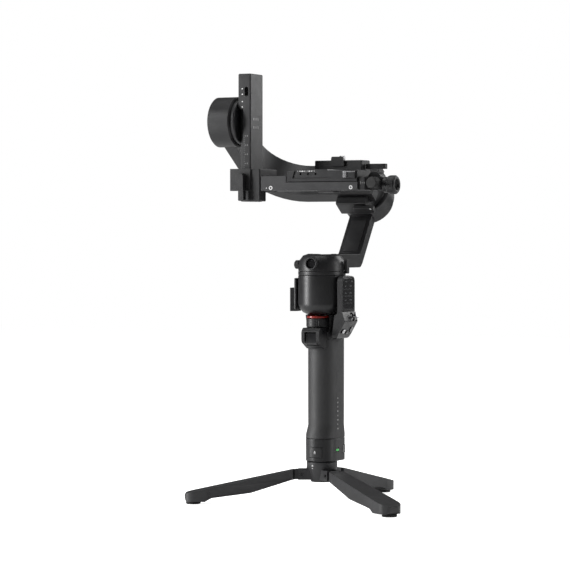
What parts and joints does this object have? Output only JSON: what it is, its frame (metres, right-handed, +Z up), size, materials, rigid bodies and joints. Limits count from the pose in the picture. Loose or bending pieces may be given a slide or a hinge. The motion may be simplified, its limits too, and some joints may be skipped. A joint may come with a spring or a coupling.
{
  "type": "camera gimbal",
  "caption": "Handheld motorised stabiliser for a mirrorless camera, with pan, roll and tilt motors, balance slides, a control grip and a folding tripod base.",
  "frame": {"origin": "bottom centre of the bounding box, on the floor that the feet stand on", "axes": "+Z up along the pan axis, -Y the way the lens looks, +X towards the screen side, -X towards the tilt motor"},
  "size_m": [0.2616, 0.2374, 0.466],
  "materials": {
    "satin_black": "satin black moulded shell",
    "soft_grip": "soft dark grey grip skin",
    "grey_metal": "dark grey anodised",
    "dark_metal": "near-black anodised",
    "bright_metal": "bare turned steel",
    "gloss_black": "glossy black",
    "black_rubber": "black rubber",
    "red_ring": "dark orange-red ring",
    "green_light": "green light window",
    "copper": "copper windings",
    "board_green": "green circuit board",
    "cell_blue": "blue cell wrap"
  },
  "bodies": {
    "handle": {"tripod_hub": "grey_metal", "leg_pin_1": "bright_metal", "leg_pin_2": "bright_metal", "leg_pin_3": "bright_metal", "tripod_stud": "bright_metal", "grip_collar": "satin_black", "status_light": "green_light", "grip_shell": "soft_grip", "battery_pack": "cell_blue", "head_housing": "satin_black", "circuit_board": "board_green", "trigger_guard": "satin_black", "control_panel": "satin_black", "screen": "gloss_black", "accessory_mount": "satin_black", "pan_motor_housing": "satin_black", "pan_stator": "copper", "pan_bearing": "bright_metal"},
    "leg_one": {"leg_1": "dark_metal", "foot_pad_1": "black_rubber"},
    "leg_two": {"leg_2": "dark_metal", "foot_pad_2": "black_rubber"},
    "leg_three": {"leg_3": "dark_metal", "foot_pad_3": "black_rubber"},
    "latch": {"latch_button": "satin_black"},
    "battery_key": {"battery_button": "satin_black"},
    "power_key": {"power_button": "satin_black"},
    "record_key": {"record_button": "satin_black"},
    "mode_key": {"mode_button": "satin_black"},
    "mode_slider": {"mode_switch": "bright_metal"},
    "stick_yoke": {"joystick_yoke": "satin_black"},
    "stick": {"joystick_cap": "bright_metal"},
    "trigger": {"trigger": "gloss_black"},
    "dial": {"front_dial": "satin_black", "dial_ring": "red_ring"},
    "pan_head": {"pan_rotor": "dark_metal", "pan_clamp": "satin_black", "pan_clamp_screw": "dark_metal"},
    "pan_knob": {"pan_knob": "satin_black"},
    "pan_lever": {"pan_lever": "dark_metal"},
    "pan_arm": {"pan_arm": "dark_metal", "roll_stator": "copper", "roll_cover": "satin_black"},
    "roll_head": {"roll_rotor": "dark_metal"},
    "roll_lever": {"roll_lever": "dark_metal"},
    "roll_arm": {"roll_arm": "dark_metal", "tilt_stator": "copper"},
    "tilt_head": {"tilt_rotor": "dark_metal", "tilt_bar": "dark_metal"},
    "carriage": {"height_carriage": "grey_metal", "camera_beam": "grey_metal", "plate_receiver": "dark_metal", "knob_housing": "dark_metal"},
    "height_lever": {"height_lever": "dark_metal"},
    "plate_latch": {"plate_latch": "bright_metal"},
    "lock_knob": {"lock_knob": "satin_black"},
    "fine_knob": {"fine_tuning_knob": "satin_black"},
    "camera_plate": {"camera_plate": "dark_metal"},
    "camera_screw": {"camera_screw": "bright_metal"},
    "plate_lever": {"plate_lever": "dark_metal"}
  },
  "joints": [
    {"name": "leg_fold_one", "type": "hinge", "parent": "handle", "child": "leg_one", "pos_m": [0.02297, -0.04181, 0.032], "axis": [0.5592, 0.829, 0], "range_deg": [0, 78]},
    {"name": "leg_fold_two", "type": "hinge", "parent": "handle", "child": "leg_two", "pos_m": [0.00627, -0.00756, 0.032], "axis": [-0.9976, 0.0698, 0], "range_deg": [0, 78]},
    {"name": "leg_fold_three", "type": "hinge", "parent": "handle", "child": "leg_three", "pos_m": [-0.01504, -0.03915, 0.032], "axis": [0.4384, -0.8988, 0], "range_deg": [0, 78]},
    {"name": "pan", "type": "hinge", "parent": "handle", "child": "pan_head", "pos_m": [0.00473, -0.02951, 0.414], "axis": [0, 0, 1], "continuous": true},
    {"name": "pan_balance", "type": "slide", "parent": "pan_head", "child": "pan_arm", "axis": [0, 1, 0], "range_m": [-0.004, 0.02]},
    {"name": "roll", "type": "hinge", "parent": "pan_arm", "child": "roll_head", "pos_m": [0.00473, -0.02951, 0.414], "axis": [0, 0.8192, -0.5736], "range_deg": [-65, 235]},
    {"name": "roll_balance", "type": "slide", "parent": "roll_head", "child": "roll_arm", "axis": [1, 0, 0], "range_m": [-0.02, 0.02]},
    {"name": "tilt", "type": "hinge", "parent": "roll_arm", "child": "tilt_head", "pos_m": [0.00473, -0.02951, 0.414], "axis": [1, 0, 0], "range_deg": [-112, 214]},
    {"name": "height", "type": "slide", "parent": "tilt_head", "child": "carriage", "axis": [0, 0, 1], "range_m": [0, 0.03]},
    {"name": "plate_slide", "type": "slide", "parent": "carriage", "child": "camera_plate", "axis": [0, 1, 0], "range_m": [-0.03, 0.018]},
    {"name": "fine_tuning", "type": "hinge", "parent": "carriage", "child": "fine_knob", "pos_m": [0.00473, -0.02951, 0.3435], "axis": [1, 0, 0], "range_deg": [-180, 270]},
    {"name": "height_lever", "type": "hinge", "parent": "carriage", "child": "height_lever", "pos_m": [-0.08087, -0.05341, 0.3526], "axis": [0, 1, 0], "range_deg": [0, 90]},
    {"name": "plate_latch", "type": "slide", "parent": "carriage", "child": "plate_latch", "axis": [0, 1, 0], "range_m": [0, 0.0018], "stiffness_N_per_m": 300, "springref_m": -0.002},
    {"name": "lock_knob", "type": "hinge", "parent": "carriage", "child": "lock_knob", "pos_m": [0.07223, -0.02951, 0.3455], "axis": [0, 1, 0], "continuous": true},
    {"name": "camera_screw", "type": "hinge", "parent": "camera_plate", "child": "camera_screw", "pos_m": [0.00473, 0.02149, 0.365], "axis": [0, 0, 1], "continuous": true},
    {"name": "plate_lever", "type": "hinge", "parent": "camera_plate", "child": "plate_lever", "pos_m": [0.03904, 0.02149, 0.3649], "axis": [0, 0, 1], "range_deg": [0, 80]},
    {"name": "roll_lever", "type": "hinge", "parent": "roll_head", "child": "roll_lever", "pos_m": [0.01273, 0.0467, 0.3206], "axis": [0, 0.5736, 0.8192], "range_deg": [-80, 0]},
    {"name": "pan_lever", "type": "hinge", "parent": "pan_head", "child": "pan_lever", "pos_m": [0.03254, -0.02551, 0.259], "axis": [1, 0, 0], "range_deg": [0, 90]},
    {"name": "pan_knob", "type": "hinge", "parent": "pan_head", "child": "pan_knob", "pos_m": [0.00473, -0.02951, 0.258], "axis": [1, 0, 0], "continuous": true},
    {"name": "front_dial", "type": "hinge", "parent": "handle", "child": "dial", "pos_m": [0.00473, -0.03951, 0.195], "axis": [0, 0, 1], "continuous": true},
    {"name": "trigger", "type": "hinge", "parent": "handle", "child": "trigger", "pos_m": [0.00473, -0.05201, 0.1835], "axis": [1, 0, 0], "range_deg": [0, 9], "stiffness_Nm_per_rad": 0.3, "springref_deg": -11.46},
    {"name": "stick_left_right", "type": "hinge", "parent": "handle", "child": "stick_yoke", "pos_m": [0.03814, -0.02351, 0.2022], "axis": [0, 1, 0], "range_deg": [-12, 12], "stiffness_Nm_per_rad": 0.05},
    {"name": "stick_fore_aft", "type": "hinge", "parent": "stick_yoke", "child": "stick", "pos_m": [0.03814, -0.02351, 0.2022], "axis": [-0.3387, 0, 0.9409], "range_deg": [-12, 12], "stiffness_Nm_per_rad": 0.05},
    {"name": "record_press", "type": "slide", "parent": "handle", "child": "record_key", "axis": [-0.8767, 0, 0.4811], "range_m": [0, 0.0008], "stiffness_N_per_m": 300, "springref_m": -0.002},
    {"name": "mode_press", "type": "slide", "parent": "handle", "child": "mode_key", "axis": [-0.8767, 0, 0.4811], "range_m": [0, 0.0008], "stiffness_N_per_m": 300, "springref_m": -0.002},
    {"name": "mode_select", "type": "slide", "parent": "handle", "child": "mode_slider", "axis": [0, 1, 0], "range_m": [-0.0022, 0.0022]},
    {"name": "power_press", "type": "slide", "parent": "handle", "child": "power_key", "axis": [1, 0, 0], "range_m": [0, 0.0008], "stiffness_N_per_m": 300, "springref_m": -0.002},
    {"name": "battery_press", "type": "slide", "parent": "handle", "child": "battery_key", "axis": [-1, 0, 0], "range_m": [0, 0.0008], "stiffness_N_per_m": 300, "springref_m": -0.002},
    {"name": "latch_press", "type": "slide", "parent": "handle", "child": "latch", "axis": [0, 1, 0], "range_m": [0, 0.0008], "stiffness_N_per_m": 300, "springref_m": -0.002}
  ],
  "couplings": [
    {"joint": "fine_tuning", "follows": "plate_slide", "rad_per_m": -133.33}
  ]
}
